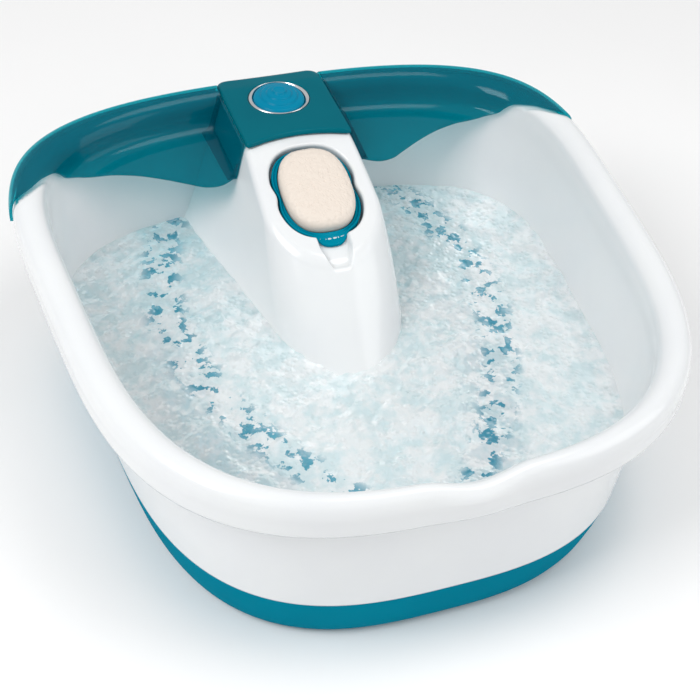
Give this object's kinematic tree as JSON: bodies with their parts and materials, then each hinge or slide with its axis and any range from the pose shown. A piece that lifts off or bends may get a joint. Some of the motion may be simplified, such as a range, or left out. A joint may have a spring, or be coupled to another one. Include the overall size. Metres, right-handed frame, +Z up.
{
  "type": "foot spa basin",
  "caption": "Foot spa basin with rolled rim, teal splash guard and base, central tower with power button and lift-out pumice, air blower and floor heater under the floor",
  "frame": {"origin": "on the floor under the middle of the rim; the feet stand on z = 0", "axes": "+Z up, -Y towards the user, +Y towards the control panel and splash guard, +X to the user's right"},
  "size_m": [0.3902, 0.398, 0.1548],
  "materials": {
    "white_plastic": "moulded white, glossy",
    "teal_plastic": "moulded teal, satin gloss",
    "teal_clear": "translucent teal, polished",
    "button_blue": "moulded blue, satin",
    "chrome": "plated silver ring",
    "pumice": "porous pumice",
    "rubber": "black rubber",
    "steel": "plain steel",
    "aluminium": "plain aluminium",
    "copper": "varnished copper",
    "black_plastic": "black moulded plastic",
    "board_green": "green circuit board",
    "clear_tube": "milky plastic"
  },
  "bodies": {
    "basin": {"tub": "white_plastic", "base_tray": "teal_plastic", "splash_guard": "teal_clear", "control_panel": "teal_plastic", "button_bezel": "chrome", "button_spring": "steel", "switch_body": "black_plastic", "bubble_strip_left": "teal_plastic", "bubble_strip_right": "teal_plastic", "blower_base": "black_plastic", "blower_housing": "black_plastic", "motor_bracket": "steel", "upper_bearing": "steel", "lower_bearing": "steel", "motor_core": "steel", "motor_coil": "copper", "air_riser": "clear_tube", "air_manifold": "black_plastic", "air_duct_left": "clear_tube", "air_duct_right": "clear_tube", "heater_plate": "aluminium", "heater_element": "copper", "thermostat": "black_plastic", "thermal_fuse": "steel", "heater_clamp": "steel", "circuit_board": "board_green", "board_relay": "black_plastic", "board_capacitor": "button_blue", "terminal_block": "white_plastic", "cord_gland": "rubber", "base_screw_1": "steel", "base_screw_2": "steel", "base_screw_3": "steel", "base_screw_4": "steel", "base_screw_5": "steel", "base_screw_6": "steel", "rubber_foot_1": "rubber", "rubber_foot_2": "rubber", "rubber_foot_3": "rubber", "rubber_foot_4": "rubber"},
    "fan": {"impeller": "clear_tube", "motor_shaft": "steel", "motor_rotor": "aluminium"},
    "button": {"power_button": "button_blue"},
    "plunger": {"switch_plunger": "button_blue"},
    "pumice": {"pumice_holder": "teal_plastic", "pumice_stone": "pumice"}
  },
  "joints": [
    {"name": "button_press", "type": "slide", "parent": "basin", "child": "button", "axis": [0, 0, -1], "range_m": [0, 0.0025], "stiffness_N_per_m": 600, "springref_m": -0.0015, "deforming": ["button_spring"]},
    {"name": "plunger_press", "type": "slide", "parent": "basin", "child": "plunger", "axis": [0, 0, -1], "range_m": [0, 0.0025]},
    {"name": "fan_spin", "type": "hinge", "parent": "basin", "child": "fan", "pos_m": [0, 0.058, 0.03], "axis": [0, 0, 1], "continuous": true},
    {"name": "pumice_lift", "type": "slide", "parent": "basin", "child": "pumice", "axis": [0, -0.2883, 0.9575], "range_m": [0, 0.03]}
  ],
  "couplings": [
    {"joint": "plunger_press", "follows": "button_press", "ratio": 1}
  ]
}
